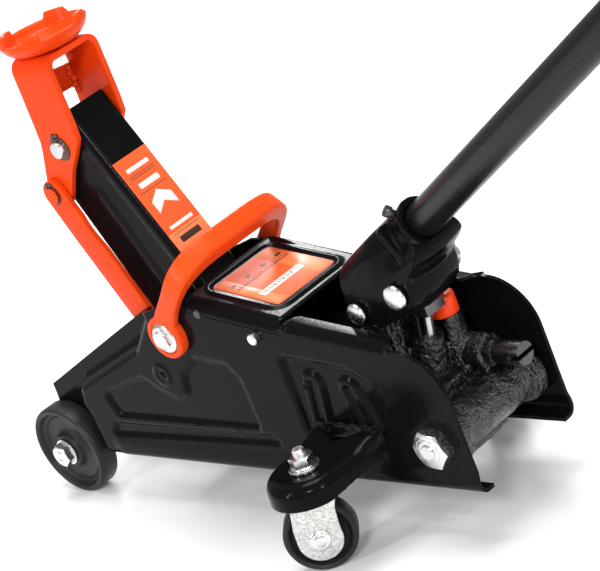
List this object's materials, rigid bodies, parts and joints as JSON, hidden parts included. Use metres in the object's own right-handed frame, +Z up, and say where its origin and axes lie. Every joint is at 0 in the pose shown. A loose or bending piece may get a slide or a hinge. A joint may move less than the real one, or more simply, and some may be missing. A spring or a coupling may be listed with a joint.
{
  "type": "hydraulic floor jack",
  "caption": "Low-profile hydraulic trolley jack with raised lift arm, swivelling saddle, pump handle, carry handle, front wheels and rear casters.",
  "frame": {"origin": "on the floor under the middle of the jack's overall box, arm raised and handle fitted", "axes": "+X towards the handle's end, +Y towards the jack's right-hand side seen from the handle, +Z up"},
  "size_m": [0.9451, 0.223, 0.5191],
  "materials": {
    "black_paint": "gloss",
    "orange_paint": "gloss",
    "orange_plastic": "satin",
    "cap_plastic": "satin",
    "label": "satin",
    "zinc": "bright zinc plated",
    "ground_steel": "ground and polished",
    "black_casting": "rough, painted black",
    "dark_steel": "blackened",
    "grey_steel": "phosphated",
    "wheel_plastic": "satin",
    "caster_plastic": "satin",
    "grip_rubber": "ribbed",
    "seal_rubber": "smooth"
  },
  "bodies": {
    "chassis": {"side_plate_left": "black_paint", "side_plate_right": "black_paint", "cover_plate": "black_paint", "cover_label": "label", "cover_screws": "zinc", "cylinder_block": "black_casting", "ram_cylinder": "black_casting", "ram_gland": "ground_steel", "rear_bolts": "zinc", "caster_bracket_left": "black_paint", "caster_bracket_right": "black_paint", "arm_pivot_shaft": "zinc", "pivot_shaft_clips": "dark_steel", "link_pivot_pins": "zinc", "front_axle_bolts": "zinc", "carry_handle_bolts": "zinc", "filler_cap": "cap_plastic", "socket_pivot_bolt": "zinc", "pump_gland": "black_casting", "floor_brace": "black_paint", "arm_return_springs": "dark_steel", "valve_gland_nut": "black_casting", "caster_nuts": "zinc", "socket_return_spring": "zinc"},
    "release_valve": {"release_valve": "dark_steel"},
    "arm": {"lift_arm": "black_paint", "arm_label": "label", "horn_pin": "ground_steel", "yoke_pin": "zinc", "yoke_pin_clips": "dark_steel"},
    "links": {"link_left": "orange_paint", "link_right": "orange_paint", "link_rivets": "orange_paint", "link_clips": "dark_steel"},
    "yoke": {"saddle_yoke": "orange_paint"},
    "saddle": {"saddle": "orange_paint", "saddle_nut": "zinc"},
    "ram": {"ram_rod": "ground_steel", "ram_head": "black_casting", "ram_piston": "ground_steel", "ram_seal": "seal_rubber"},
    "socket": {"handle_socket": "black_paint", "striker_block": "grey_steel", "striker_bolt": "zinc", "clamp_bolt": "dark_steel"},
    "handle": {"handle_lower_tube": "black_paint", "handle_upper_tube": "black_paint", "handle_grip": "grip_rubber", "handle_snap_pin": "zinc"},
    "pump_piston": {"pump_piston": "ground_steel"},
    "carry_handle": {"carry_handle": "orange_plastic"},
    "front_wheel_left": {"front_wheel_left": "wheel_plastic"},
    "front_wheel_right": {"front_wheel_right": "wheel_plastic"},
    "caster_left": {"caster_fork_left": "zinc", "caster_axle_left": "zinc"},
    "caster_right": {"caster_fork_right": "zinc", "caster_axle_right": "zinc"},
    "caster_wheel_left": {"caster_wheel_left": "caster_plastic"},
    "caster_wheel_right": {"caster_wheel_right": "caster_plastic"}
  },
  "joints": [
    {"name": "arm_lift", "type": "hinge", "parent": "chassis", "child": "arm", "pos_m": [-0.25965, 0, 0.095], "axis": [0, 1, 0], "range_deg": [-76.6, 0]},
    {"name": "ram_slide", "type": "slide", "parent": "chassis", "child": "ram", "axis": [1, 0, 0], "range_m": [0, 0.0475]},
    {"name": "link_swing", "type": "hinge", "parent": "chassis", "child": "links", "pos_m": [-0.28315, 0, 0.0629], "axis": [0, 1, 0], "range_deg": [-76.7, 0.1]},
    {"name": "yoke_level", "type": "hinge", "parent": "arm", "child": "yoke", "pos_m": [-0.33113, 0, 0.26096], "axis": [0, 1, 0], "range_deg": [-0.1, 76.7]},
    {"name": "saddle_swivel", "type": "hinge", "parent": "yoke", "child": "saddle", "pos_m": [-0.32935, 0, 0.32], "axis": [0, 0, 1], "continuous": true},
    {"name": "handle_pump", "type": "hinge", "parent": "chassis", "child": "socket", "pos_m": [-0.10745, 0, 0.1435], "axis": [0, 1, 0], "range_deg": [-32, 0]},
    {"name": "pump_stroke", "type": "slide", "parent": "chassis", "child": "pump_piston", "axis": [0.2706, 0, 0.9627], "range_m": [0, 0.01505]},
    {"name": "handle_pull_out", "type": "slide", "parent": "socket", "child": "handle", "axis": [0.8545, 0, 0.5195], "range_m": [0, 0.05]},
    {"name": "release_turn", "type": "hinge", "parent": "chassis", "child": "release_valve", "pos_m": [-0.05165, 0.022, 0.091], "axis": [1, 0, 0], "range_deg": [0, 180]},
    {"name": "carry_handle_fold", "type": "hinge", "parent": "chassis", "child": "carry_handle", "pos_m": [-0.26615, 0, 0.136], "axis": [0, 1, 0], "range_deg": [-30, 4]},
    {"name": "front_wheel_left_spin", "type": "hinge", "parent": "chassis", "child": "front_wheel_left", "pos_m": [-0.43815, -0.041, 0.0344], "axis": [0, 1, 0], "continuous": true},
    {"name": "front_wheel_right_spin", "type": "hinge", "parent": "chassis", "child": "front_wheel_right", "pos_m": [-0.43815, 0.041, 0.0344], "axis": [0, 1, 0], "continuous": true},
    {"name": "caster_left_swivel", "type": "hinge", "parent": "chassis", "child": "caster_left", "pos_m": [-0.13765, -0.0835, 0.07], "axis": [0, 0, 1], "continuous": true},
    {"name": "caster_wheel_left_spin", "type": "hinge", "parent": "caster_left", "child": "caster_wheel_left", "pos_m": [-0.14249, -0.08785, 0.024], "axis": [0.6691, -0.7431, 0], "continuous": true},
    {"name": "caster_right_swivel", "type": "hinge", "parent": "chassis", "child": "caster_right", "pos_m": [-0.13765, 0.0835, 0.07], "axis": [0, 0, 1], "continuous": true},
    {"name": "caster_wheel_right_spin", "type": "hinge", "parent": "caster_right", "child": "caster_wheel_right", "pos_m": [-0.14249, 0.08785, 0.024], "axis": [0.6691, 0.7431, 0], "continuous": true}
  ],
  "couplings": [
    {"joint": "ram_slide", "follows": "arm_lift", "m_per_rad": -0.03523},
    {"joint": "link_swing", "follows": "arm_lift", "ratio": 1},
    {"joint": "yoke_level", "follows": "arm_lift", "ratio": -1},
    {"joint": "pump_stroke", "follows": "handle_pump", "m_per_rad": -0.02686}
  ]
}
